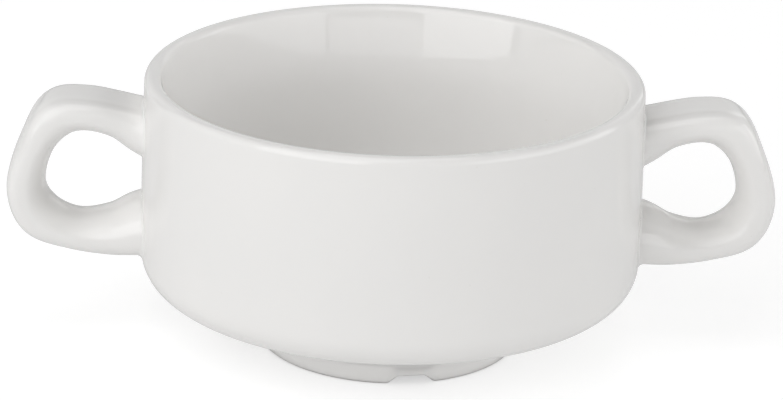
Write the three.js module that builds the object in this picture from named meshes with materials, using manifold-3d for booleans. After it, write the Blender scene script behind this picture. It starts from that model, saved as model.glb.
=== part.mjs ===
// A two-handled stacking soup cup in glazed porcelain, taken apart the way it is joined in the clay:
// one formed body, two cast ears, and a pad of joining slip under each leg of the ears.
// Millimetres, +Z up. The origin is the centre of the standing ring, and the ears lie along X.

import * as THREE from "three";
import { mergeVertices } from "three/addons/utils/BufferGeometryUtils.js";
import Module from "manifold-3d";

const wasm = await Module();
wasm.setup();

// Outside of the body
const CUP_HEIGHT = 58.5;
const RIM_RADIUS = 52.5;
const WALL_BASE_RADIUS = 53.0; // where the wall runs into the knee
const WALL_BELLY = 0.2; // how far the middle of the wall stands out from a straight line
const KNEE_HEIGHT = 15.05; // where wall and underside would meet in a sharp corner
const KNEE_RADIUS = 6.6;
const UNDERSIDE_SLOPE = THREE.MathUtils.degToRad(21.5);

// Inside of the body
const LIP_THICKNESS = 3.6;
const LIP_BEVEL_DEPTH = 11.8; // from the rim down to the end of the flared band inside the lip
const LIP_BEVEL_LEAN = THREE.MathUtils.degToRad(13);
const LIP_BEVEL_BLEND = 10;
const INNER_WALL_LEAN = THREE.MathUtils.degToRad(1.5);
const BOWL_CORNER_RADIUS = 20;
const FLOOR_THICKNESS = 5.7;

// Foot ring with its drain notches
const FOOT_RADIUS = 27.6;
const FOOT_LEAN = THREE.MathUtils.degToRad(15);
const FOOT_FILLET_RADIUS = 7.5;
const FOOT_EDGE_RADIUS = 0.7;
const FOOT_WIDTH = 3.3;
const RECESS_DEPTH = 3.5;
const RECESS_LEAN = THREE.MathUtils.degToRad(25);
const RECESS_FILLET_RADIUS = 2;
const NOTCH_COUNT = 4;
const NOTCH_TURN = THREE.MathUtils.degToRad(9); // first notch, counted from -Y towards +X
const NOTCH_DEPTH = 1.7;
const NOTCH_TOP_WIDTH = 5.4;
const NOTCH_FOOT_WIDTH = 9.4;

// Ears: points on the middle line of one ear, seen square on. The first number is the distance out
// from the wall, the second the rise over the nearer root and the third the thickness there.
const EAR_WIDTH = 16;
const EAR_UPPER_ROOT_DROP = 12.45; // middle of the upper leg at the wall, below the rim
const EAR_LOWER_ROOT_RISE = 9.8; // middle of the lower leg at the wall, above the knee's corner
const EAR_UPPER_ROOT = [0, 0, 10.4];
const EAR_UPPER_LEG = [6, 2.5, 8.05];
const EAR_CROWN = [12.65, 3.65, 7.85];
const EAR_SHOULDER = [17.9, 2.5, 9.1];
const EAR_UPPER_SIDE = [22.3, -3.6, 7.5];
const EAR_SIDE = [24.5, -2.55, 8.1]; // counted from half-way between the roots
const EAR_ELBOW = [21.8, 2, 8.6];
const EAR_SWEEP = [14.5, -1.3, 7.1];
const EAR_LOWER_LEG = [6.25, -1.45, 9.4];
const EAR_LOWER_ROOT = [0, 0, 11.9];
const EAR_OUTER_ROUNDNESS = 3.3; // exponent of the section's superellipse: 2 is an ellipse, more is squarer
const EAR_INNER_ROUNDNESS = 2; // the same on the side of the finger hole
const EAR_SPARE = 5; // length of leg inside the wall line before it is cut back

// Joint between an ear's leg and the wall
const SLIP_THICKNESS = 0.8;
const JOINT_GAP = 0.3;

// Facets
const LATHE_SEGMENTS = 64;
const WALL_STEPS = 5;
const LIP_STEPS = 4; // on each side of the top
const ARC_STEP = THREE.MathUtils.degToRad(16);
const EAR_STEPS_PER_SPAN = 3;
const EAR_SECTION_POINTS = 20;
const CUT_MARGIN = 3; // how far a cutting solid runs past what it cuts

const PORCELAIN = { color: 0xecebe7, roughness: 0.12, metalness: 0 };
const JOINING_SLIP = { color: 0xe4e2dc, roughness: 0.3, metalness: 0 };

const point = (r, z) => new THREE.Vector2(r, z);

// Replaces each corner that has a radius by an arc that touches both its sides.
function roundCorners(corners) {
  const line = [];
  corners.forEach(({ at, radius = 0 }, i) => {
    if (radius === 0) {
      line.push(at);
      return;
    }
    const toPrevious = corners[i - 1].at.clone().sub(at).normalize();
    const toNext = corners[i + 1].at.clone().sub(at).normalize();
    const halfAngle = Math.acos(toPrevious.dot(toNext)) / 2;
    const middle = toPrevious.clone().add(toNext).normalize();
    const centre = at.clone().addScaledVector(middle, radius / Math.sin(halfAngle));
    const reach = radius / Math.tan(halfAngle);
    const start = at.clone().addScaledVector(toPrevious, reach).sub(centre);
    const end = at.clone().addScaledVector(toNext, reach).sub(centre);
    const turn = Math.atan2(start.cross(end), start.dot(end));
    const steps = Math.max(2, Math.ceil(Math.abs(turn) / ARC_STEP));
    for (let k = 0; k <= steps; k++) {
      line.push(start.clone().rotateAround(point(0, 0), (turn * k) / steps).add(centre));
    }
  });
  return line;
}

// The corner where wall and underside would meet, and the point that the wall's curve leans towards.
const KNEE_CORNER = point(WALL_BASE_RADIUS, KNEE_HEIGHT);
const WALL_TOP = point(RIM_RADIUS, CUP_HEIGHT - LIP_THICKNESS / 2);
const WALL_PULL = KNEE_CORNER.clone().lerp(WALL_TOP, 0.5).add(point(2 * WALL_BELLY, 0));

// Where the foot's leaning wall would meet the coned underside.
function footCorner() {
  const slope = Math.tan(UNDERSIDE_SLOPE);
  const lean = Math.tan(FOOT_LEAN);
  const height = (KNEE_CORNER.y - slope * (KNEE_CORNER.x - FOOT_RADIUS)) / (1 - slope * lean);
  return point(FOOT_RADIUS + height * lean, height);
}

// Knee and wall, from the end of the coned underside up to the lip, moved out square by an offset.
function kneeAndWall(offset) {
  const knee = roundCorners([
    { at: footCorner() },
    { at: KNEE_CORNER, radius: KNEE_RADIUS },
    { at: WALL_PULL },
  ]).slice(1, -1);
  const wall = new THREE.QuadraticBezierCurve(knee.at(-1), WALL_PULL, WALL_TOP).getPoints(WALL_STEPS);
  const line = [...knee, ...wall.slice(1)];
  return line.map((at, i) => {
    const before = line[Math.max(i - 1, 0)];
    const after = line[Math.min(i + 1, line.length - 1)];
    const run = after.clone().sub(before).normalize();
    return point(at.x + run.y * offset, at.y - run.x * offset);
  });
}

// Recess and foot ring, from the middle of the recess out to the coned underside.
function undersideLine() {
  const ringInside = FOOT_RADIUS - FOOT_WIDTH;
  const recessEdge = ringInside - RECESS_DEPTH * Math.tan(RECESS_LEAN);
  const line = roundCorners([
    { at: point(0, RECESS_DEPTH) },
    { at: point(recessEdge, RECESS_DEPTH), radius: RECESS_FILLET_RADIUS },
    { at: point(ringInside, 0), radius: FOOT_EDGE_RADIUS },
    { at: point(FOOT_RADIUS, 0), radius: FOOT_EDGE_RADIUS },
    { at: footCorner(), radius: FOOT_FILLET_RADIUS },
    { at: KNEE_CORNER },
  ]);
  return line.slice(0, -1);
}

// Lip, flared band, inner wall and bowl floor, from the outside of the lip down to the axis.
function insideLine() {
  const lipRadius = LIP_THICKNESS / 2;
  const lipCentre = point(RIM_RADIUS - lipRadius, CUP_HEIGHT - lipRadius);
  const lip = [];
  for (const [start, end] of [[0, Math.PI / 2], [Math.PI / 2, Math.PI - LIP_BEVEL_LEAN]]) {
    for (let k = 1; k <= LIP_STEPS; k++) {
      const angle = start + ((end - start) * k) / LIP_STEPS;
      const spoke = point(Math.cos(angle), Math.sin(angle)).multiplyScalar(lipRadius);
      lip.push(lipCentre.clone().add(spoke));
    }
  }
  const lipEnd = lip.at(-1);
  const bandFoot = CUP_HEIGHT - LIP_BEVEL_DEPTH;
  const bandRadius = lipEnd.x - (lipEnd.y - bandFoot) * Math.tan(LIP_BEVEL_LEAN);
  const floor = RECESS_DEPTH + FLOOR_THICKNESS;
  const bowlRadius = bandRadius - (bandFoot - floor) * Math.tan(INNER_WALL_LEAN);
  const bowl = roundCorners([
    { at: lipEnd },
    { at: point(bandRadius, bandFoot), radius: LIP_BEVEL_BLEND },
    { at: point(bowlRadius, floor), radius: BOWL_CORNER_RADIUS },
    { at: point(0, floor) },
  ]);
  return [...lip, ...bowl.slice(1)];
}

// Turns a line of radii and heights into a closed solid round Z.
function turned(line) {
  return new THREE.LatheGeometry(line, LATHE_SEGMENTS).rotateX(Math.PI / 2);
}

// Gives a closed geometry's shared corners back and makes it ready to be cut or joined.
function solid(geometry) {
  geometry.deleteAttribute("normal");
  geometry.deleteAttribute("uv");
  const welded = mergeVertices(geometry);
  const triangles = [];
  for (let i = 0; i < welded.index.count; i += 3) {
    const corner = [0, 1, 2].map((k) => welded.index.getX(i + k));
    if (new Set(corner).size === 3) triangles.push(...corner);
  }
  return new wasm.Manifold(
    new wasm.Mesh({
      numProp: 3,
      vertProperties: new Float32Array(welded.attributes.position.array),
      triVerts: new Uint32Array(triangles),
    }),
  );
}

// Makes a named mesh from a finished solid.
function piece(name, shape, finish) {
  const { vertProperties, triVerts } = shape.getMesh();
  const geometry = new THREE.BufferGeometry();
  geometry.setAttribute("position", new THREE.BufferAttribute(vertProperties, 3));
  geometry.setIndex(new THREE.BufferAttribute(triVerts, 1));
  geometry.computeVertexNormals();
  const mesh = new THREE.Mesh(geometry, new THREE.MeshStandardMaterial(finish));
  mesh.name = name;
  return mesh;
}

// One drain notch, as a bar of its own section that lies across the foot ring.
function notchBar(index) {
  const flare = (NOTCH_FOOT_WIDTH - NOTCH_TOP_WIDTH) / 2 / NOTCH_DEPTH;
  const wide = NOTCH_FOOT_WIDTH / 2 + flare * CUT_MARGIN;
  const section = new THREE.Shape([
    point(-wide, -CUT_MARGIN),
    point(wide, -CUT_MARGIN),
    point(NOTCH_TOP_WIDTH / 2, NOTCH_DEPTH),
    point(-NOTCH_TOP_WIDTH / 2, NOTCH_DEPTH),
  ]);
  const ringInside = FOOT_RADIUS - FOOT_WIDTH - NOTCH_DEPTH * Math.tan(RECESS_LEAN);
  const start = ringInside * Math.cos(NOTCH_FOOT_WIDTH / ringInside) - CUT_MARGIN;
  const end = footCorner().x + CUT_MARGIN;
  const bar = new THREE.ExtrudeGeometry(section, { depth: end - start, bevelEnabled: false });
  bar.translate(0, 0, start).rotateX(Math.PI / 2);
  return bar.rotateZ(NOTCH_TURN + (index * 2 * Math.PI) / NOTCH_COUNT);
}

function cupBody() {
  let body = solid(turned([...undersideLine(), ...kneeAndWall(0), ...insideLine()]));
  for (let i = 0; i < NOTCH_COUNT; i++) body = body.subtract(solid(notchBar(i)));
  return body;
}

// Everything inside the wall's outside, moved out by an offset: what an ear is fitted against.
function wallBlock(offset) {
  const line = kneeAndWall(offset);
  const apex = point(0, line[0].y - line[0].x * Math.tan(UNDERSIDE_SLOPE));
  const top = point(line.at(-1).x, CUP_HEIGHT + CUT_MARGIN);
  return solid(turned([apex, ...line, top, point(0, top.y)]));
}

// The ear's middle line. X is out from the axis, Z is height, and Y carries the thickness.
function earLine() {
  const onWall = (height) => {
    const share = (height - KNEE_CORNER.y) / (WALL_TOP.y - KNEE_CORNER.y);
    return KNEE_CORNER.clone().lerp(WALL_TOP, share);
  };
  const upper = onWall(CUP_HEIGHT - EAR_UPPER_ROOT_DROP);
  const lower = onWall(KNEE_HEIGHT + EAR_LOWER_ROOT_RISE);
  const between = upper.clone().lerp(lower, 0.5);
  const at = ([out, rise, thickness], root) => new THREE.Vector3(root.x + out, thickness, root.y + rise);
  const inside = ([out, rise], [, , thickness]) => [-EAR_SPARE, (-EAR_SPARE * rise) / out, thickness];
  return new THREE.CatmullRomCurve3([
    at(inside(EAR_UPPER_LEG, EAR_UPPER_ROOT), upper),
    at(EAR_UPPER_ROOT, upper),
    at(EAR_UPPER_LEG, upper),
    at(EAR_CROWN, upper),
    at(EAR_SHOULDER, upper),
    at(EAR_UPPER_SIDE, upper),
    at(EAR_SIDE, between),
    at(EAR_ELBOW, lower),
    at(EAR_SWEEP, lower),
    at(EAR_LOWER_LEG, lower),
    at(EAR_LOWER_ROOT, lower),
    at(inside(EAR_LOWER_LEG, EAR_LOWER_ROOT), lower),
  ]);
}

const EAR_SPANS = earLine().points.length - 1;
const UPPER_LEG = [0, 2];
const LOWER_LEG = [EAR_SPANS - 2, EAR_SPANS];
const WHOLE_EAR = [0, EAR_SPANS];

// A point on the ear's section, a superellipse that is squarer on the outside than towards the hole.
function earSection(angle, thickness) {
  const roundness = Math.cos(angle) > 0 ? EAR_OUTER_ROUNDNESS : EAR_INNER_ROUNDNESS;
  const bend = (value) => Math.sign(value) * Math.abs(value) ** (2 / roundness);
  return { thick: (bend(Math.cos(angle)) * thickness) / 2, wide: (bend(Math.sin(angle)) * EAR_WIDTH) / 2 };
}

// A stretch of the ear, counted in spans of its middle line, closed at both ends.
function earStretch([firstSpan, lastSpan]) {
  const line = earLine();
  const rings = (lastSpan - firstSpan) * EAR_STEPS_PER_SPAN + 1;
  const positions = [];
  const index = [];
  for (let i = 0; i < rings; i++) {
    const along = (firstSpan + i / EAR_STEPS_PER_SPAN) / EAR_SPANS;
    const centre = line.getPoint(along);
    const run = line.getTangent(along);
    const across = new THREE.Vector3(-run.z, 0, run.x).normalize();
    for (let k = 0; k < EAR_SECTION_POINTS; k++) {
      const { thick, wide } = earSection((2 * Math.PI * k) / EAR_SECTION_POINTS, centre.y);
      positions.push(centre.x + across.x * thick, wide, centre.z + across.z * thick);
    }
  }
  for (let i = 0; i < rings - 1; i++) {
    for (let k = 0; k < EAR_SECTION_POINTS; k++) {
      const a = i * EAR_SECTION_POINTS + k;
      const b = i * EAR_SECTION_POINTS + ((k + 1) % EAR_SECTION_POINTS);
      index.push(a, b + EAR_SECTION_POINTS, b, a, a + EAR_SECTION_POINTS, b + EAR_SECTION_POINTS);
    }
  }
  const last = (rings - 1) * EAR_SECTION_POINTS;
  for (let k = 1; k < EAR_SECTION_POINTS - 1; k++) {
    index.push(0, k, k + 1, last, last + k + 1, last + k);
  }
  const geometry = new THREE.BufferGeometry();
  geometry.setAttribute("position", new THREE.Float32BufferAttribute(positions, 3));
  geometry.setIndex(index);
  return geometry;
}

// One ear and the two slip pads under its legs, on the +X side of the cup.
function earWithPads(side) {
  const padInside = wallBlock(JOINT_GAP);
  const padOutside = wallBlock(JOINT_GAP + SLIP_THICKNESS);
  const earFace = wallBlock(2 * JOINT_GAP + SLIP_THICKNESS);
  const pad = (leg) => solid(earStretch(leg)).intersect(padOutside).subtract(padInside);
  const group = new THREE.Group();
  group.add(
    piece(`handle_${side}`, solid(earStretch(WHOLE_EAR)).subtract(earFace), PORCELAIN),
    piece(`slip_${side}_upper`, pad(UPPER_LEG), JOINING_SLIP),
    piece(`slip_${side}_lower`, pad(LOWER_LEG), JOINING_SLIP),
  );
  return group;
}

const cup = new THREE.Group();
cup.add(piece("cup_body", cupBody(), PORCELAIN));
const rightEar = earWithPads("right");
const leftEar = earWithPads("left");
leftEar.rotation.z = Math.PI;
cup.add(rightEar, leftEar);

export default cup;
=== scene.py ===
"""A two-handled stacking soup cup in glossy white porcelain, dressed for a studio picture.

Lengths are in millimetres, as on a drawing, and become metres where Blender takes them.
The cup stands on the floor at the origin, +Z is up, the ears lie along X and the viewer is at -Y.
"""

import math

import bpy
import numpy as np
from mathutils import Matrix, Vector


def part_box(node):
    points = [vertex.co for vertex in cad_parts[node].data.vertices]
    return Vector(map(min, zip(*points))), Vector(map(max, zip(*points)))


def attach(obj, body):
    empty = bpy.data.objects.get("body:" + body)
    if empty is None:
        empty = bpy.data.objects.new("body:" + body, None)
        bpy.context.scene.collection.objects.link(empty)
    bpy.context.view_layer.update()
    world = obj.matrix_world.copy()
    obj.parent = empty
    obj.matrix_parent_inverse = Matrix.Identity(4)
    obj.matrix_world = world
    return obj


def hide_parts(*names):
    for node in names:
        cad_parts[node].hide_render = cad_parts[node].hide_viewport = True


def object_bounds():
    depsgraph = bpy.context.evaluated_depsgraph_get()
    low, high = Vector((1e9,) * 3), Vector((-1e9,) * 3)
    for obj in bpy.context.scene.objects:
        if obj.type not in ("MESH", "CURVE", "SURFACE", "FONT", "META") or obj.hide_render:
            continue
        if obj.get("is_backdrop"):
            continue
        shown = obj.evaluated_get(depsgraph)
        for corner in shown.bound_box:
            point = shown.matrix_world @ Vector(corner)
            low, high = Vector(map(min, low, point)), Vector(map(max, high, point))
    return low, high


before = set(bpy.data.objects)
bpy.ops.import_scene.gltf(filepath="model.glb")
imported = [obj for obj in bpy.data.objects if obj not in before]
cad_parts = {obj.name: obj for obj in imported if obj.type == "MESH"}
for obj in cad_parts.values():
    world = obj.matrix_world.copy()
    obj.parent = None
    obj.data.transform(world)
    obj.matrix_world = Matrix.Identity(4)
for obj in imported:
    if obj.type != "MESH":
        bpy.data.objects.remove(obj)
CAD_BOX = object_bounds()

MM = 0.001
BODY_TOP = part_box("cup_body")[1]
EAR_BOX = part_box("handle_right")

# Outside of the body
CUP_HEIGHT = BODY_TOP.z / MM
RIM_RADIUS = 52.5
WALL_BASE_RADIUS = 53.0
WALL_BELLY = 0.2
KNEE_HEIGHT = 15.05
KNEE_RADIUS = 6.6
UNDERSIDE_SLOPE = math.radians(21.5)

# Inside of the body
LIP_THICKNESS = 3.6
LIP_BEVEL_DEPTH = 14.5
LIP_BEVEL_LEAN = math.radians(13)
LIP_BEVEL_BLEND = 36  # radius that leads from the leaning band to the wall below it
INNER_WALL_LEAN = math.radians(1.5)
BOWL_CORNER_RADIUS = 20
FLOOR_THICKNESS = 5.7

# Foot ring with its drain notches
FOOT_RADIUS = 27.6
FOOT_LEAN = math.radians(15)
FOOT_FILLET_RADIUS = 9.5
FOOT_EDGE_RADIUS = 0.7
FOOT_WIDTH = 3.3
RECESS_DEPTH = 3.5
RECESS_LEAN = math.radians(25)
RECESS_FILLET_RADIUS = 2
NOTCH_COUNT = 4
NOTCH_TURN = math.radians(9)
NOTCH_DEPTH = 1.7
NOTCH_TOP_WIDTH = 5.4
NOTCH_FOOT_WIDTH = 9.4
NOTCH_REACH = 4.5  # height on the foot up to which the notch bends the ring
NOTCH_SOFTNESS = 0.08  # how far the glaze rounds the notch's edges

# Ears: out from the wall, rise over the nearer root, thickness
EAR_WIDTH = (EAR_BOX[1].y - EAR_BOX[0].y) / MM
EAR_UPPER_ROOT_DROP = 12.45
EAR_LOWER_ROOT_RISE = 9.8
EAR_UPPER_ROOT = (0, 0, 10.4)
EAR_UPPER_LEG = (6, 2.5, 8.05)
EAR_CROWN = (12.65, 3.65, 7.85)
EAR_SHOULDER = (17.9, 2.5, 9.1)
EAR_UPPER_SIDE = (22.3, -3.6, 7.5)
EAR_SIDE = (24.5, -2.55, 8.1)
EAR_ELBOW = (21.8, 2, 8.6)
EAR_SWEEP = (14.5, -1.3, 7.1)
EAR_LOWER_LEG = (6.25, -1.45, 9.4)
EAR_LOWER_ROOT = (0, 0, 11.9)
EAR_OUTER_ROUNDNESS = 3.3  # of the section: 2 is an ellipse, and more is squarer
EAR_INNER_ROUNDNESS = 2
EAR_LEG_ROUNDNESS = 1.65  # towards the hole on the lower leg, where it falls away to both sides
EAR_LEG_RISE = 0.1  # share by which the middle of that side is higher
EAR_LEG_START = (6.4, 7.6)  # the lower leg's section sets in between these places, in spans
EAR_SPARE = 5  # how far the middle line runs on into the wall
EAR_UPPER_FLARE = (4.5, 0.9)  # how far out from the wall a root widens, and by how much on each side
EAR_LOWER_FLARE = (12, 1.7)
EAR_FLARE_TILT = 0.15  # how much more of it lies towards the hole than on the outside of the ear

# Joint between an ear's leg and the wall
BEAD_REACH = 0.55  # how far the bead runs up the leg and out over the wall
BEAD_LOWER_REACH = 1.7  # the same under the lower leg, where more slip gathers
BEAD_SINK = 0.06  # how far its edges dive under the glaze beside them
BEAD_TAIL = 0.4
BEAD_ROOT = 0.9  # how deep its back lies inside the joint
BEAD_BACK_SHARE = 0.8  # width of its back, as a share of the leg's

# Fineness of the meshes
LATHE_SEGMENTS = 360
ARC_STEP = math.radians(5)
ARC_LEAST_STEPS = 3
LONGEST_STEP = 1.5
EAR_RINGS = 200
EAR_SECTION_SEGMENTS = 72
EAR_BURIED_SHARE = 0.012  # of the ear's length that runs into the wall at each end
BEAD_STEPS = 9
CROSSING_SPANS = 2.5  # stretch at each end of an ear in which its skin comes out of the wall
CROSSING_STEPS = 400
SPEED_STEP = 0.01  # of a span, over which the skin's speed is measured


def point(r, z):
    return np.array((r, z), float)


def unit(vector):
    return vector / np.linalg.norm(vector)


def angles_round(count):
    """Even steps round a full circle."""
    return 2 * math.pi * np.arange(count) / count


def smooth_clamp(value, softness):
    """Runs from 0 to 1 like a clamp, with rounded ends."""
    low = np.sqrt(value**2 + softness**2)
    high = np.sqrt((value - 1) ** 2 + softness**2)
    return (low - high + 1) / 2


def smooth_step(value, start, end):
    """Runs from 0 at the start to 1 at the end, level at both."""
    share = np.clip((value - start) / (end - start), 0, 1)
    return share**2 * (3 - 2 * share)


def round_corners(corners):
    """Replaces each corner that has a radius by an arc that touches both its sides."""
    line = []
    for i, (at, radius) in enumerate(corners):
        if radius == 0:
            line.append(at)
            continue
        to_previous = unit(corners[i - 1][0] - at)
        to_next = unit(corners[i + 1][0] - at)
        half_angle = math.acos(to_previous @ to_next) / 2
        centre = at + unit(to_previous + to_next) * radius / math.sin(half_angle)
        start = at + to_previous * radius / math.tan(half_angle) - centre
        end = at + to_next * radius / math.tan(half_angle) - centre
        turn = math.atan2(start[0] * end[1] - start[1] * end[0], start @ end)
        steps = max(ARC_LEAST_STEPS, math.ceil(abs(turn) / ARC_STEP))
        for k in range(steps + 1):
            angle = turn * k / steps
            cos, sin = math.cos(angle), math.sin(angle)
            line.append(centre + point(cos * start[0] - sin * start[1], sin * start[0] + cos * start[1]))
    return line


def refine(line):
    """Puts points into the long straight stretches of a line."""
    fine = [line[0]]
    for before, after in zip(line, line[1:]):
        steps = max(1, math.ceil(np.linalg.norm(after - before) / LONGEST_STEP))
        fine += [before + (after - before) * k / steps for k in range(1, steps + 1)]
    return fine


# Profile of the body

KNEE_CORNER = point(WALL_BASE_RADIUS, KNEE_HEIGHT)
WALL_TOP = point(RIM_RADIUS, CUP_HEIGHT - LIP_THICKNESS / 2)
WALL_PULL = (KNEE_CORNER + WALL_TOP) / 2 + point(2 * WALL_BELLY, 0)


def foot_corner():
    slope, lean = math.tan(UNDERSIDE_SLOPE), math.tan(FOOT_LEAN)
    height = (KNEE_CORNER[1] - slope * (KNEE_CORNER[0] - FOOT_RADIUS)) / (1 - slope * lean)
    return point(FOOT_RADIUS + height * lean, height)


def knee_and_wall():
    knee = round_corners([(foot_corner(), 0), (KNEE_CORNER, KNEE_RADIUS), (WALL_PULL, 0)])[1:-1]
    steps = math.ceil((WALL_TOP[1] - knee[-1][1]) / LONGEST_STEP)
    wall = []
    for k in range(1, steps + 1):
        t = k / steps
        wall.append((1 - t) ** 2 * knee[-1] + 2 * t * (1 - t) * WALL_PULL + t**2 * WALL_TOP)
    return knee + wall


def underside_line():
    ring_inside = FOOT_RADIUS - FOOT_WIDTH
    recess_edge = ring_inside - RECESS_DEPTH * math.tan(RECESS_LEAN)
    return round_corners([
        (point(0, RECESS_DEPTH), 0),
        (point(recess_edge, RECESS_DEPTH), RECESS_FILLET_RADIUS),
        (point(ring_inside, 0), FOOT_EDGE_RADIUS),
        (point(FOOT_RADIUS, 0), FOOT_EDGE_RADIUS),
        (foot_corner(), FOOT_FILLET_RADIUS),
        (KNEE_CORNER, 0),
    ])[:-1]


def inside_line():
    lip_radius = LIP_THICKNESS / 2
    lip_centre = point(RIM_RADIUS - lip_radius, CUP_HEIGHT - lip_radius)
    steps = math.ceil((math.pi - LIP_BEVEL_LEAN) / ARC_STEP)
    angles = [(math.pi - LIP_BEVEL_LEAN) * k / steps for k in range(1, steps + 1)]
    lip = [lip_centre + lip_radius * point(math.cos(a), math.sin(a)) for a in angles]
    band_foot = CUP_HEIGHT - LIP_BEVEL_DEPTH
    band_radius = lip[-1][0] - (lip[-1][1] - band_foot) * math.tan(LIP_BEVEL_LEAN)
    floor = RECESS_DEPTH + FLOOR_THICKNESS
    bowl_radius = band_radius - (band_foot - floor) * math.tan(INNER_WALL_LEAN)
    bowl = round_corners([
        (lip[-1], 0),
        (point(band_radius, band_foot), LIP_BEVEL_BLEND),
        (point(bowl_radius, floor), BOWL_CORNER_RADIUS),
        (point(0, floor), 0),
    ])
    return lip + bowl[1:]


WALL_LINE = np.array(knee_and_wall())


def wall_radius(z):
    return np.interp(z, WALL_LINE[:, 1], WALL_LINE[:, 0])


# Meshes

def new_object(name, data):
    thing = bpy.data.objects.new(name, data)
    bpy.context.scene.collection.objects.link(thing)
    return thing


def new_mesh(name, points, faces):
    mesh = bpy.data.meshes.new(name)
    mesh.from_pydata((np.asarray(points) * MM).tolist(), [], faces)
    return mesh


def new_piece(name, points, faces, node):
    """Makes a smooth mesh that stands for a node of the frame, hangs it on the root and hides that node.
    """
    mesh = new_mesh(name, points, faces)
    mesh.shade_smooth()
    mesh.update()
    piece = new_object(name, mesh)
    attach(piece, "root")
    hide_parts(node)
    return piece


def ring_faces(rings, size, closed):
    """Quads between neighbouring rings of points, and from the last ring to the first if closed."""
    faces = []
    for i in range(rings if closed else rings - 1):
        here, there = i * size, (i + 1) % rings * size
        for k in range(size):
            after = (k + 1) % size
            faces.append((here + k, here + after, there + after, there + k))
    return faces


def turned_over(faces):
    return [tuple(reversed(face)) for face in faces]


def notch_lift(turn):
    """How far the foot ring is raised, at an angle round the cup from -Y towards +X."""
    pitch = 2 * math.pi / NOTCH_COUNT
    off = (turn - NOTCH_TURN + pitch / 2) % pitch - pitch / 2
    along = np.abs(off) * (FOOT_RADIUS - FOOT_WIDTH / 2)
    flare = (NOTCH_FOOT_WIDTH - NOTCH_TOP_WIDTH) / 2
    return NOTCH_DEPTH * smooth_clamp((NOTCH_FOOT_WIDTH / 2 - along) / flare, NOTCH_SOFTNESS)


def make_body():
    line = np.array(refine(underside_line() + knee_and_wall() + inside_line()))
    turns = angles_round(LATHE_SEGMENTS)
    lift = notch_lift(turns)
    points = [(0, 0, line[0][1])]
    for r, z in line[1:-1]:
        low = z < NOTCH_REACH and r > FOOT_RADIUS - FOOT_WIDTH - NOTCH_REACH
        height = z + lift * (1 - z / NOTCH_REACH) if low else np.full(LATHE_SEGMENTS, z)
        points += list(zip(r * np.sin(turns), -r * np.cos(turns), height))
    points.append((0, 0, line[-1][1]))
    rings = len(line) - 2
    faces = [tuple(i + 1 for i in face) for face in ring_faces(rings, LATHE_SEGMENTS, False)]
    last = 1 + (rings - 1) * LATHE_SEGMENTS
    for k in range(LATHE_SEGMENTS):
        after = (k + 1) % LATHE_SEGMENTS
        faces.append((0, 1 + after, 1 + k))
        faces.append((last + LATHE_SEGMENTS, last + k, last + after))
    return new_piece("porcelain_body", points, faces, "cup_body")


# Ears

def ear_stations():
    """Points on the ear's middle line: out from the axis, height, thickness."""
    def on_wall(height):
        share = (height - KNEE_CORNER[1]) / (WALL_TOP[1] - KNEE_CORNER[1])
        return KNEE_CORNER + (WALL_TOP - KNEE_CORNER) * share

    def at(station, root):
        return np.array((root[0] + station[0], root[1] + station[1], station[2]), float)

    def inside(leg, root):
        return (-EAR_SPARE, -EAR_SPARE * leg[1] / leg[0], root[2])

    upper = on_wall(CUP_HEIGHT - EAR_UPPER_ROOT_DROP)
    lower = on_wall(KNEE_HEIGHT + EAR_LOWER_ROOT_RISE)
    stations = [at(inside(EAR_UPPER_LEG, EAR_UPPER_ROOT), upper)]
    for station in (EAR_UPPER_ROOT, EAR_UPPER_LEG, EAR_CROWN, EAR_SHOULDER, EAR_UPPER_SIDE):
        stations.append(at(station, upper))
    stations.append(at(EAR_SIDE, (upper + lower) / 2))
    for station in (EAR_ELBOW, EAR_SWEEP, EAR_LOWER_LEG, EAR_LOWER_ROOT):
        stations.append(at(station, lower))
    stations.append(at(inside(EAR_LOWER_LEG, EAR_LOWER_ROOT), lower))
    return np.array(stations)


STATIONS = ear_stations()
EAR_SPANS = len(STATIONS) - 1


def ear_line(t):
    """A centripetal Catmull-Rom curve through the stations, and its direction, at t in spans."""
    padded = np.vstack((2 * STATIONS[0] - STATIONS[1], STATIONS, 2 * STATIONS[-1] - STATIONS[-2]))
    span = np.clip(np.floor(t).astype(int), 0, EAR_SPANS - 1)
    share = (t - span)[:, None]
    p0, p1, p2, p3 = (padded[span + k] for k in range(4))
    legs = (p1 - p0, p2 - p1, p3 - p2)
    d0, d1, d2 = (np.sqrt(np.linalg.norm(leg, axis=1, keepdims=True)) for leg in legs)
    start = d1 * ((p1 - p0) / d0 - (p2 - p0) / (d0 + d1) + (p2 - p1) / d1)
    end = d1 * ((p2 - p1) / d1 - (p3 - p1) / (d1 + d2) + (p3 - p2) / d2)
    second = 3 * (p2 - p1) - 2 * start - end
    third = 2 * (p1 - p2) + start + end
    at = p1 + share * (start + share * (second + share * third))
    run = start + share * (2 * second + share * 3 * third)
    return at, run


def ear_section(t, angle):
    """A superellipse of size 1, squarer on the outside of the ear than towards the hole."""
    on_leg = smooth_step(t, *EAR_LEG_START)
    inner = EAR_INNER_ROUNDNESS + (EAR_LEG_ROUNDNESS - EAR_INNER_ROUNDNESS) * on_leg
    outside = np.cos(angle) > 0
    roundness = np.where(outside, EAR_OUTER_ROUNDNESS, inner)
    rise = np.where(outside, 1, 1 + EAR_LEG_RISE * on_leg)

    def bend(value):
        return np.sign(value) * np.abs(value) ** (2 / roundness)

    return bend(np.cos(angle)) * rise, bend(np.sin(angle))


def root_flare(t, out, angle):
    """How much wider the ear is on each side where it nears the wall."""
    upper = t < EAR_SPANS / 2
    reach = np.where(upper, EAR_UPPER_FLARE[0], EAR_LOWER_FLARE[0])
    spread = np.where(upper, EAR_UPPER_FLARE[1], EAR_LOWER_FLARE[1])
    near = np.clip(1 - (out - WALL_BASE_RADIUS) / reach, 0, None)
    return spread * near**2 * (1 - EAR_FLARE_TILT * np.cos(angle))


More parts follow.
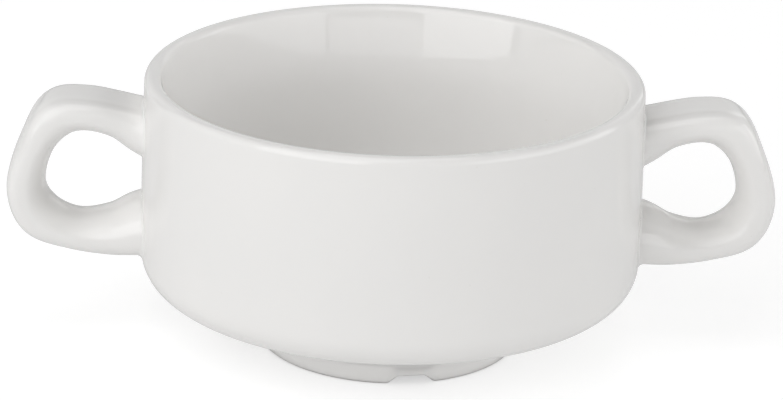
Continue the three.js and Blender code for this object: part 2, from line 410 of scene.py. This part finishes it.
def ear_surface(t, angle):
    """A point on the right ear's skin, at t in spans along it and an angle round its section."""
    at, run = ear_line(t)
    length = np.hypot(run[:, 0], run[:, 1])
    thick, wide = ear_section(t, angle)
    thick = thick * at[:, 2] / 2
    wide = wide * (EAR_WIDTH / 2 + root_flare(t, at[:, 0], angle))
    out = at[:, 0] - run[:, 1] / length * thick
    up = at[:, 1] + run[:, 0] / length * thick
    return np.column_stack((out, wide, up))


SECTION_ANGLES = angles_round(EAR_SECTION_SEGMENTS)


def crossing(angle, inner, outer):
    """Where a line along the ear's skin comes out of the wall, in spans, between two places."""
    t = np.linspace(inner, outer, CROSSING_STEPS)
    skin = ear_surface(t, np.full_like(t, angle))
    clear = np.hypot(skin[:, 0], skin[:, 1]) - wall_radius(skin[:, 2])
    i = np.argmax(clear > 0)
    return t[i - 1] + (t[i] - t[i - 1]) * clear[i - 1] / (clear[i - 1] - clear[i])


UPPER_CROSSINGS = np.array([crossing(a, 0, CROSSING_SPANS) for a in SECTION_ANGLES])
LOWER_CROSSINGS = np.array([crossing(a, EAR_SPANS, EAR_SPANS - CROSSING_SPANS) for a in SECTION_ANGLES])


def half_turn(points, side):
    """The left ear is the right one turned half round the cup."""
    return points if side == "right" else points * (-1, -1, 1)


def make_ear(side):
    shares = np.linspace(-EAR_BURIED_SHARE, 1 + EAR_BURIED_SHARE, EAR_RINGS)
    points = []
    for share in shares:
        t = UPPER_CROSSINGS + (LOWER_CROSSINGS - UPPER_CROSSINGS) * share
        points.append(ear_surface(t, SECTION_ANGLES))
    faces = turned_over(ring_faces(EAR_RINGS, EAR_SECTION_SEGMENTS, False))
    last = (EAR_RINGS - 1) * EAR_SECTION_SEGMENTS
    faces.append(tuple(range(EAR_SECTION_SEGMENTS)))
    faces.append(tuple(reversed(range(last, last + EAR_SECTION_SEGMENTS))))
    return new_piece(f"porcelain_ear_{side}", half_turn(np.vstack(points), side), faces,
                     f"handle_{side}")


def on_wall_skin(flat):
    """Turns a place on the unrolled wall, along and up, into a point in space."""
    r = wall_radius(flat[:, 1])
    turn = flat[:, 0] / WALL_BASE_RADIUS
    return np.column_stack((r * np.cos(turn), r * np.sin(turn), flat[:, 1]))


def make_bead(side, leg):
    """The bead of slip round one leg: a fillet from the leg's skin to the wall, closed behind."""
    crossings = UPPER_CROSSINGS if leg == "upper" else LOWER_CROSSINGS
    outward = 1 if leg == "upper" else -1
    foot = ear_surface(crossings, SECTION_ANGLES)
    flat = np.column_stack((np.arctan2(foot[:, 1], foot[:, 0]) * WALL_BASE_RADIUS, foot[:, 2]))
    along = np.roll(flat, -1, axis=0) - np.roll(flat, 1, axis=0)
    away = np.column_stack((along[:, 1], -along[:, 0])) / np.linalg.norm(along, axis=1)[:, None]
    away *= np.sign(np.sum(away * (flat - flat.mean(axis=0)), axis=1))[:, None]

    under = np.maximum(np.cos(SECTION_ANGLES), 0) ** 2 if leg == "lower" else 0
    reach = BEAD_REACH + (BEAD_LOWER_REACH - BEAD_REACH) * under * np.ones(EAR_SECTION_SEGMENTS)

    def up_leg(distance):
        step = SPEED_STEP * outward
        travel = ear_surface(crossings + step, SECTION_ANGLES) - foot
        speed = np.linalg.norm(travel, axis=1) / SPEED_STEP
        return ear_surface(crossings + outward * distance / speed, SECTION_ANGLES)

    def out_wall(distance):
        return on_wall_skin(flat + away * distance[:, None])

    tail_on_leg = up_leg(reach + BEAD_TAIL)
    inward = tail_on_leg.mean(axis=0) - tail_on_leg
    inward /= np.linalg.norm(inward, axis=1, keepdims=True)
    sunk = 1 - BEAD_SINK / WALL_BASE_RADIUS
    rows = [tail_on_leg + inward * BEAD_SINK]
    leg_edge, wall_edge = up_leg(reach), out_wall(reach)
    for k in range(BEAD_STEPS + 1):
        t = k / BEAD_STEPS
        rows.append((1 - t) ** 2 * leg_edge + 2 * t * (1 - t) * foot + t**2 * wall_edge)
    rows.append(out_wall(reach + BEAD_TAIL) * (sunk, sunk, 1))
    middle = foot.mean(axis=0)
    rows.append(middle + (foot - middle) * BEAD_BACK_SHARE - (BEAD_ROOT, 0, 0))
    size = len(rows)
    points = np.stack(rows, axis=1).reshape(-1, 3)
    faces = ring_faces(EAR_SECTION_SEGMENTS, size, True)
    if leg == "upper":
        faces = turned_over(faces)
    return new_piece(f"slip_bead_{side}_{leg}", half_turn(points, side), faces,
                     f"slip_{side}_{leg}")


BODY = make_body()
EARS = [make_ear(side) for side in ("right", "left")]
BEADS = [make_bead(side, leg) for side in ("right", "left") for leg in ("upper", "lower")]


# Materials

# The sockets of a Mix node share their names, so they are found by their places
MIX_SHARE = 0
MIX_NUMBERS = (2, 3)
MIX_NUMBER_RESULT = 0
MIX_COLOURS = (6, 7)
MIX_COLOUR_RESULT = 2


class Nodes:
    """Short ways to add and join the nodes of one material."""

    def __init__(self, name):
        self.material = bpy.data.materials.new(name)
        self.material.use_nodes = True
        self.tree = self.material.node_tree
        self.shader = self.tree.nodes["Principled BSDF"]

    def add(self, kind, **settings):
        node = self.tree.nodes.new(kind)
        for key, value in settings.items():
            setattr(node, key, value)
        return node

    def join(self, source, target):
        self.tree.links.new(source, target)

    def noise(self, scale, detail, seed):
        place = self.add("ShaderNodeTexCoord")
        noise = self.add("ShaderNodeTexNoise", noise_dimensions="4D")
        noise.inputs["Scale"].default_value = scale
        noise.inputs["Detail"].default_value = detail
        noise.inputs["W"].default_value = seed
        self.join(place.outputs["Object"], noise.inputs["Vector"])
        return noise.outputs["Fac"]

    def ramp(self, factor, places, colours):
        """Goes from the first colour to the second between two places."""
        ramp = self.add("ShaderNodeValToRGB")
        for element, place, colour in zip(ramp.color_ramp.elements, places, colours):
            element.position = place
            element.color = (*colour, 1)
        self.join(factor, ramp.inputs["Fac"])
        return ramp.outputs["Color"]

    def spread(self, value, before, after):
        """Takes a value from one range to another and holds it at both ends."""
        spread = self.add("ShaderNodeMapRange")
        for name, number in zip(("From Min", "From Max", "To Min", "To Max"), (*before, *after)):
            spread.inputs[name].default_value = number
        self.join(value, spread.inputs["Value"])
        return spread.outputs["Result"]

    def attribute(self, name):
        attribute = self.add("ShaderNodeAttribute", attribute_name=name)
        return attribute.outputs["Fac"]

    def height(self):
        place = self.add("ShaderNodeTexCoord")
        split = self.add("ShaderNodeSeparateXYZ")
        self.join(place.outputs["Object"], split.inputs["Vector"])
        return split.outputs["Z"]

    def distance(self, centre):
        """How far the surface is from a point of the object."""
        place = self.add("ShaderNodeTexCoord")
        measure = self.add("ShaderNodeVectorMath", operation="DISTANCE")
        measure.inputs[1].default_value = centre
        self.join(place.outputs["Object"], measure.inputs[0])
        return measure.outputs["Value"]

    def combine(self, operation, first, second):
        result = self.add("ShaderNodeMath", operation=operation)
        self.join(first, result.inputs[0])
        self.join(second, result.inputs[1])
        return result.outputs["Value"]

    def sum(self, first, second):
        return self.combine("ADD", first, second)

    def product(self, first, second):
        return self.combine("MULTIPLY", first, second)

    def mix(self, share, first, second):
        mix = self.add("ShaderNodeMix", data_type="FLOAT")
        self.join(share, mix.inputs[MIX_SHARE])
        for source, place in zip((first, second), MIX_NUMBERS):
            self.join(source, mix.inputs[place])
        return mix.outputs[MIX_NUMBER_RESULT]

    def blend(self, share, first, second):
        """Goes from the first colour to the second, which may be a constant, as the share grows."""
        mix = self.add("ShaderNodeMix", data_type="RGBA")
        self.join(share, mix.inputs[MIX_SHARE])
        first_socket, second_socket = (mix.inputs[place] for place in MIX_COLOURS)
        self.join(first, first_socket)
        if isinstance(second, tuple):
            second_socket.default_value = (*second, 1)
        else:
            self.join(second, second_socket)
        return mix.outputs[MIX_COLOUR_RESULT]

    def bump(self, height, distance, below=None):
        bump = self.add("ShaderNodeBump")
        bump.inputs["Distance"].default_value = distance
        self.join(height, bump.inputs["Height"])
        if below is not None:
            self.join(below, bump.inputs["Normal"])
        return bump.outputs["Normal"]


GLAZE_IOR = 1.52
PORCELAIN_LIGHT = (0.916, 0.906, 0.89)
PORCELAIN_DARK = (0.904, 0.895, 0.881)
THIN_GLAZE = (0.867, 0.853, 0.827)  # on sharp edges, where the fired body warms it
POOLED_GLAZE = (0.875, 0.88, 0.877)  # in hollows, where it gathers and turns cooler
SPECK = (0.62, 0.58, 0.52)
BARE_CLAY = (0.80, 0.775, 0.73)
WORN_CLAY = (0.66, 0.635, 0.60)

# Noises on the glaze: how many waves to the metre, how fine, and a number that sets each apart
CLOUDS = (45, 3, 0)
GLOSS_PATCHES = (160, 4, 1)
WAVES = (70, 1, 2)
PEEL = (900, 2, 3)
SPECKS = (1400, 0, 4)
GRAIN = (2600, 5, 5)
WEAR = (220, 4, 6)
WIPED_EDGE = (300, 3, 7)

# What the noises do: the range of a noise that counts, and what it leads to
WHOLE_RANGE = (0, 1)
MIDDLE_RANGE = (0.3, 0.7)
CLOUD_RANGE = (0.35, 0.65)
SPECK_RANGE = (0.84, 0.89)
SPECK_SHARE = 0.16
WEAR_RANGE = (0.38, 0.56)
GLAZE_ROUGHNESS = (0.035, 0.075)
CLAY_ROUGHNESS = (0.6, 0.85)
WAVE_HEIGHT = 0.04
PEEL_HEIGHT = 0.003
GRAIN_HEIGHT = 0.05

# Where the glaze is thin, pooled or wiped off
EDGE_BEND = (225, 900)  # bend, in one over metres, at which the glaze begins to thin and is thinnest
HOLLOW_BEND = (-70, -350)
BEND_SHARE = 0.8  # of the edge's or hollow's own tint where it is strongest
BARE_HEIGHT = 0.22  # up to which the standing ring is wiped free of glaze
BARE_FADE = 0.1


def glaze(name, seed, bare_foot=False):
    """Glossy glaze on a white body, thin on edges, pooled in hollows and, if asked, wiped off the foot."""
    nodes = Nodes(name)

    def noise(kind):
        scale, detail, number = kind
        return nodes.noise(scale, detail, seed + number)

    tint = nodes.ramp(noise(CLOUDS), CLOUD_RANGE, (PORCELAIN_DARK, PORCELAIN_LIGHT))
    bend = nodes.attribute("bend")
    tint = nodes.blend(nodes.spread(bend, EDGE_BEND, (0, BEND_SHARE)), tint, THIN_GLAZE)
    tint = nodes.blend(nodes.spread(bend, HOLLOW_BEND, (0, BEND_SHARE)), tint, POOLED_GLAZE)
    tint = nodes.blend(nodes.spread(noise(SPECKS), SPECK_RANGE, (0, SPECK_SHARE)), tint, SPECK)
    gloss = nodes.spread(noise(GLOSS_PATCHES), MIDDLE_RANGE, GLAZE_ROUGHNESS)
    waves = nodes.bump(noise(WAVES), WAVE_HEIGHT * MM)
    surface = nodes.bump(noise(PEEL), PEEL_HEIGHT * MM, waves)
    if bare_foot:
        grain = noise(GRAIN)
        fade = BARE_FADE * MM
        height = nodes.sum(nodes.height(), nodes.spread(noise(WIPED_EDGE), WHOLE_RANGE, (-fade, fade)))
        bare = nodes.spread(height, (BARE_HEIGHT * MM, BARE_HEIGHT * MM + fade), (1, 0))
        clay = nodes.ramp(noise(WEAR), WEAR_RANGE, (WORN_CLAY, BARE_CLAY))
        tint = nodes.blend(bare, tint, clay)
        gloss = nodes.mix(bare, gloss, nodes.spread(grain, MIDDLE_RANGE, CLAY_ROUGHNESS))
        surface = nodes.bump(nodes.product(grain, bare), GRAIN_HEIGHT * MM, surface)
    nodes.join(tint, nodes.shader.inputs["Base Color"])
    nodes.join(gloss, nodes.shader.inputs["Roughness"])
    nodes.join(surface, nodes.shader.inputs["Normal"])
    nodes.shader.inputs["IOR"].default_value = GLAZE_IOR
    return nodes.material


def note_bend(piece):
    """Keeps at each point how sharply the surface bends there: edges above zero, hollows below."""
    mesh = piece.data
    at = np.empty(len(mesh.vertices) * 3)
    normal = np.empty(len(mesh.vertices) * 3)
    pair = np.empty(len(mesh.edges) * 2, int)
    mesh.vertices.foreach_get("co", at)
    mesh.vertex_normals.foreach_get("vector", normal)
    mesh.edges.foreach_get("vertices", pair)
    at, normal, pair = at.reshape(-1, 3), normal.reshape(-1, 3), pair.reshape(-1, 2)
    total = np.zeros(len(at))
    weight = np.zeros(len(at))
    for here, there in ((pair[:, 0], pair[:, 1]), (pair[:, 1], pair[:, 0])):
        reach = at[here] - at[there]
        length = np.linalg.norm(reach, axis=1)
        np.add.at(total, here, 2 * np.sum(normal[here] * reach, axis=1) / length)
        np.add.at(weight, here, length)
    bend = mesh.attributes.new("bend", "FLOAT", "POINT")
    bend.data.foreach_set("value", total / weight)


BODY.data.materials.append(glaze("body_glaze", seed=1, bare_foot=True))
ear_glaze = glaze("ear_glaze", seed=11)
bead_glaze = glaze("bead_glaze", seed=21)
for ear in EARS:
    ear.data.materials.append(ear_glaze)
for bead in BEADS:
    bead.data.materials.append(bead_glaze)
for piece in (BODY, *EARS, *BEADS):
    note_bend(piece)


# Camera

CAMERA_TARGET = (0, 0, 30.57)
CAMERA_DISTANCE = 700
CAMERA_TURN = math.radians(-2.1)  # from -Y towards +X
CAMERA_ELEVATION = math.radians(20.35)
CAMERA_ROLL = math.radians(1.8)
CAMERA_LENS = 151.45
CAMERA_NEAR = 10


def away_from_target(turn, elevation):
    """The direction from the cup at an angle from -Y towards +X and an angle up."""
    flat = math.cos(elevation)
    return Vector((flat * math.sin(turn), -flat * math.cos(turn), math.sin(elevation)))


def make_camera():
    camera = new_object("camera", bpy.data.cameras.new("camera"))
    camera.data.lens = CAMERA_LENS
    camera.data.clip_start = CAMERA_NEAR * MM
    back = away_from_target(CAMERA_TURN, CAMERA_ELEVATION)
    turn = back.to_track_quat("Z", "Y").to_matrix().to_4x4()
    place = (Vector(CAMERA_TARGET) + back * CAMERA_DISTANCE) * MM
    camera.matrix_world = Matrix.Translation(place) @ turn @ Matrix.Rotation(CAMERA_ROLL, 4, "Z")
    bpy.context.scene.camera = camera


make_camera()


# Floor: a tabletop that only the camera sees, with a painted contact shadow near the foot, and under it a
# sheet that throws light up at the cup

WHITE = (1, 1, 1, 1)
FLOOR_RADIUS = 4000
TABLE_COLOUR = (0.5, 0.5, 0.5)
TABLE_GLOW = 0.67  # keeps the tabletop pale where the cup shades it
PAINTED_SHADOW_GLOW = 0.5  # the tabletop's glow right beside the foot, lowered there to paint a contact shadow
PAINTED_SHADOW_CENTRE = (0, 12, 0)  # middle of the painted contact shadow: behind the cup's middle, because most light comes from the front
PAINTED_SHADOW_RADII = (26, 54)  # from the painted shadow's middle: where the glow begins to grow and where it is full
BOUNCE_COLOUR = (0.45, 0.45, 0.45)
BOUNCE_GLOW = 0.335
BOUNCE_DROP = 0.2
BOUNCE_HOLE = FOOT_RADIUS + 0.8  # left open under the foot, where no light gets in


def matt(name, colour):
    """A floor's finish, without gloss and ready to glow."""
    nodes = Nodes(name)
    nodes.shader.inputs["Base Color"].default_value = (*colour, 1)
    nodes.shader.inputs["Roughness"].default_value = 1
    nodes.shader.inputs["Specular IOR Level"].default_value = 0
    nodes.shader.inputs["Emission Color"].default_value = WHITE
    return nodes


def make_floor(name, material, drop=0, hole=0):
    """A round floor, with or without a hole in its middle."""
    turns = angles_round(LATHE_SEGMENTS)
    circle = np.column_stack((np.cos(turns), np.sin(turns), np.zeros(LATHE_SEGMENTS)))
    points = np.vstack([circle * radius for radius in (FLOOR_RADIUS, hole) if radius]) - (0, 0, drop)
    faces = ring_faces(2, LATHE_SEGMENTS, False) if hole else [tuple(range(LATHE_SEGMENTS))]
    floor = new_object(name, new_mesh(name, points, faces))
    floor.data.materials.append(material)
    floor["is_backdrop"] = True
    return floor


def make_table():
    finish = matt("pale_tabletop", TABLE_COLOUR)
    # The glow is lowered by distance from a point behind the foot: a painted contact shadow on the
    # tabletop, not one the cup casts
    away = finish.distance([length * MM for length in PAINTED_SHADOW_CENTRE])
    glow = finish.spread(away, [radius * MM for radius in PAINTED_SHADOW_RADII], (PAINTED_SHADOW_GLOW, TABLE_GLOW))
    finish.join(glow, finish.shader.inputs["Emission Strength"])
    table = make_floor("pale_tabletop", finish.material)
    table.visible_diffuse = False
    table.visible_glossy = False
    table.visible_shadow = False


def make_bounce_sheet():
    finish = matt("bounce_sheet", BOUNCE_COLOUR)
    finish.shader.inputs["Emission Strength"].default_value = BOUNCE_GLOW
    sheet = make_floor("bounce_sheet", finish.material, BOUNCE_DROP, BOUNCE_HOLE)
    sheet.visible_camera = False


make_table()
make_bounce_sheet()


# Lights

ROOM_GLOW = 0.03


def softbox(name, turn, elevation, distance, width, height, radiance):
    """A flat lamp that faces the cup. Its radiance is the brightness of its face."""
    lamp = bpy.data.lights.new(name, "AREA")
    lamp.shape = "RECTANGLE"
    lamp.size = width * MM
    lamp.size_y = height * MM
    lamp.energy = radiance * math.pi * lamp.size * lamp.size_y
    light = new_object(name, lamp)
    back = away_from_target(math.radians(turn), math.radians(elevation))
    light.matrix_world = (Matrix.Translation((Vector(CAMERA_TARGET) + back * distance) * MM)
                          @ back.to_track_quat("Z", "Y").to_matrix().to_4x4())
    light.visible_camera = False


softbox("key_softbox", turn=-40, elevation=24.5, distance=1300, width=1160, height=1080, radiance=2.02)
softbox("front_strip", turn=8, elevation=7, distance=1300, width=1200, height=170, radiance=1.15)
softbox("fill_softbox", turn=74, elevation=19, distance=1300, width=2100, height=820, radiance=1.56)
softbox("left_panel", turn=-95, elevation=30, distance=1400, width=1500, height=1300, radiance=0.65)
softbox("high_left_panel", turn=-36, elevation=62, distance=1400, width=1200, height=700, radiance=1.4)
softbox("right_panel", turn=125, elevation=22, distance=1400, width=1500, height=1000, radiance=0.65)
softbox("top_softbox", turn=0, elevation=90, distance=1200, width=700, height=400, radiance=1.6)
softbox("back_panel", turn=185, elevation=20, distance=1500, width=2200, height=1000, radiance=0.68)

world = bpy.data.worlds.new("studio")
bpy.context.scene.world = world
world.use_nodes = True
room = world.node_tree.nodes["Background"]
room.inputs["Color"].default_value = WHITE
room.inputs["Strength"].default_value = ROOM_GLOW

bpy.context.scene.view_settings.view_transform = "Standard"
bpy.context.scene.view_settings.look = "None"


# Sizes of the frame and of the dressed model

boxes = {"cad": CAD_BOX, "visual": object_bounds()}
{name: [[float(v) for v in corner] for corner in box] for name, box in boxes.items()}
